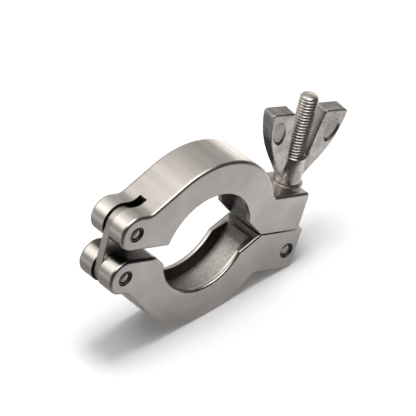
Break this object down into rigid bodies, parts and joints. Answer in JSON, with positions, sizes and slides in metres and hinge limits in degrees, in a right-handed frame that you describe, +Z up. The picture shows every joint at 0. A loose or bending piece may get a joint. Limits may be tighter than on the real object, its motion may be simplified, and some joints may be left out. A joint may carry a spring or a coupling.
{
  "type": "flange clamp",
  "caption": "Hinged vacuum flange clamp: two cast half rings on a link, closed by a swing bolt and a wing nut.",
  "frame": {"origin": "centre of the bore, at the middle of the clamp's thickness", "axes": "+X along the clamp towards the bolt, +Y along the bore to the back face, +Z up as the clamp stands on edge"},
  "size_m": [0.097, 0.015, 0.0565],
  "materials": {
    "cast_body": "satin cast stainless steel",
    "link_plate": "satin stainless plate",
    "pin_ends": "staked stainless pins",
    "bolt_steel": "bright machined stainless",
    "nut_cast": "polished cast stainless steel"
  },
  "bodies": {
    "lower_jaw": {"lower_half": "cast_body", "lower_hinge_pin": "pin_ends", "bolt_pivot_pin": "pin_ends"},
    "link": {"hinge_link": "link_plate"},
    "upper_jaw": {"upper_half": "cast_body", "upper_hinge_pin": "pin_ends"},
    "bolt": {"swing_bolt": "bolt_steel"},
    "washer_ring": {"washer": "bolt_steel"},
    "nut": {"wing_nut": "nut_cast"}
  },
  "joints": [
    {"name": "link_pivot", "type": "hinge", "parent": "lower_jaw", "child": "link", "pos_m": [-0.03204, 0, 0.0043], "axis": [0, -1, 0], "range_deg": [0, 4.25]},
    {"name": "upper_pivot", "type": "hinge", "parent": "link", "child": "upper_jaw", "pos_m": [-0.02737, 0, 0.0187], "axis": [0, -1, 0], "range_deg": [0, 9.9]},
    {"name": "bolt_swing", "type": "hinge", "parent": "lower_jaw", "child": "bolt", "pos_m": [0.03179, 0, -0.02083], "axis": [0, 1, 0], "range_deg": [0, 115]},
    {"name": "nut_travel", "type": "slide", "parent": "bolt", "child": "washer_ring", "axis": [0.3033, 0, 0.9529], "range_m": [0, 0.0181]},
    {"name": "nut_turn", "type": "hinge", "parent": "washer_ring", "child": "nut", "pos_m": [0.03944, 0, 0.00319], "axis": [0.3033, 0, 0.9529], "range_deg": [0, 6480]}
  ],
  "couplings": [
    {"joint": "nut_travel", "follows": "nut_turn", "m_per_rad": 0.00015915},
    {"joint": "link_pivot", "follows": "nut_turn", "ratio": 0.00064815},
    {"joint": "upper_pivot", "follows": "nut_turn", "ratio": 0.0015123}
  ]
}
